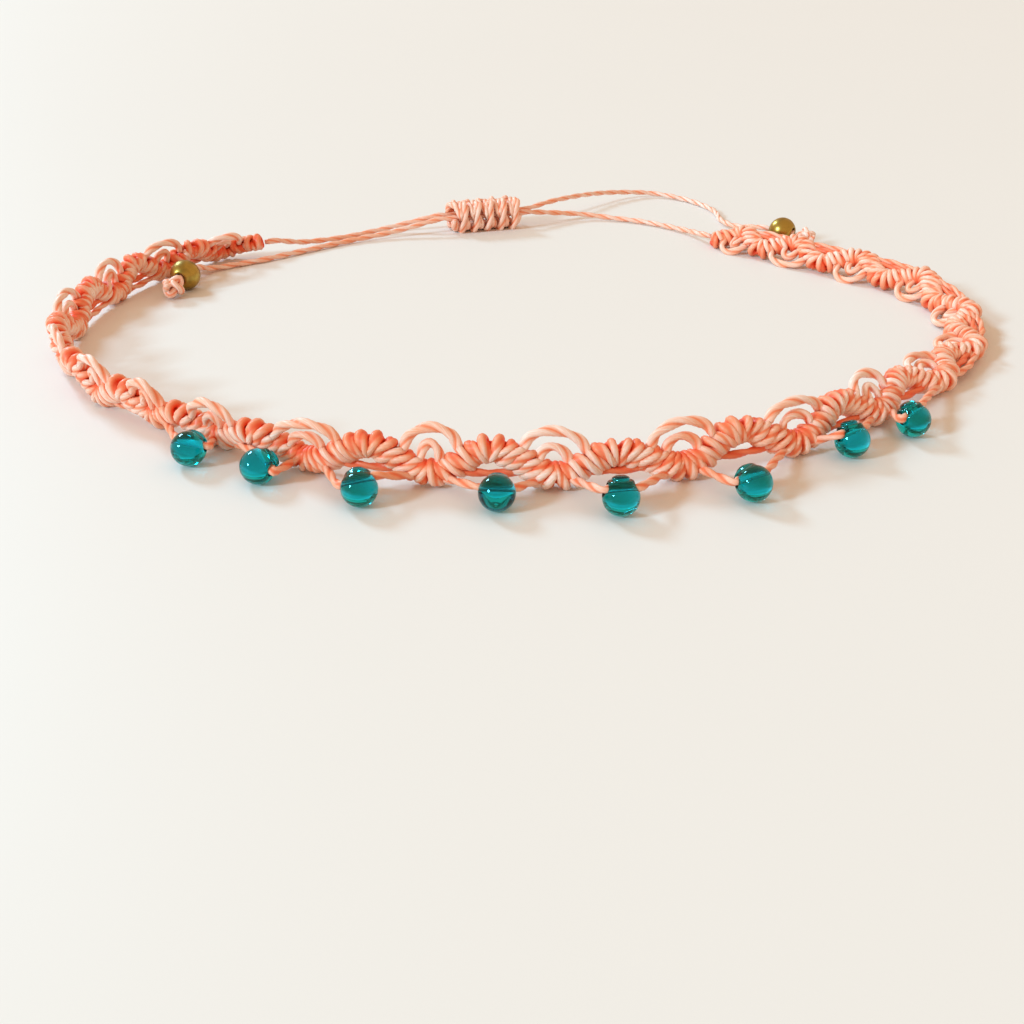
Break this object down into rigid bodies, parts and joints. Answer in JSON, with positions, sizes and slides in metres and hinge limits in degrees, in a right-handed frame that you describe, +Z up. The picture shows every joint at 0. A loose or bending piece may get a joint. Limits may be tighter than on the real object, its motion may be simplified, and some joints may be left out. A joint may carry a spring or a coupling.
{
  "type": "beaded anklet",
  "caption": "Adjustable knotted cord anklet: an openwork wavy band with teal glass drops along its front edge, a sliding knot closure and a round brass bead on each tie end.",
  "frame": {"origin": "centre of the loop's outline, without its free cords, on the surface that it lies on", "axes": "+X to the wearer's-right end of the band as seen from the bead side, +Y from the glass drops to the sliding knot, +Z up from the surface"},
  "size_m": [0.0918, 0.0931, 0.0047],
  "materials": {
    "waxed_cord": "waxed coral polyester cord, soft sheen",
    "teal_glass": "clear deep teal, polished",
    "antique_brass": "antiqued, dark olive gold"
  },
  "bodies": {
    "root": {"band": "waxed_cord", "sliding_knot": "waxed_cord", "tie_left": "waxed_cord", "tie_right": "waxed_cord", "end_knot_left": "waxed_cord", "end_knot_right": "waxed_cord", "drop_bead_1": "teal_glass", "drop_bead_2": "teal_glass", "drop_bead_3": "teal_glass", "drop_bead_4": "teal_glass", "drop_bead_5": "teal_glass", "drop_bead_6": "teal_glass", "drop_bead_7": "teal_glass", "drop_bead_8": "teal_glass", "brass_bead_left": "antique_brass", "brass_bead_right": "antique_brass"}
  },
  "joints": []
}
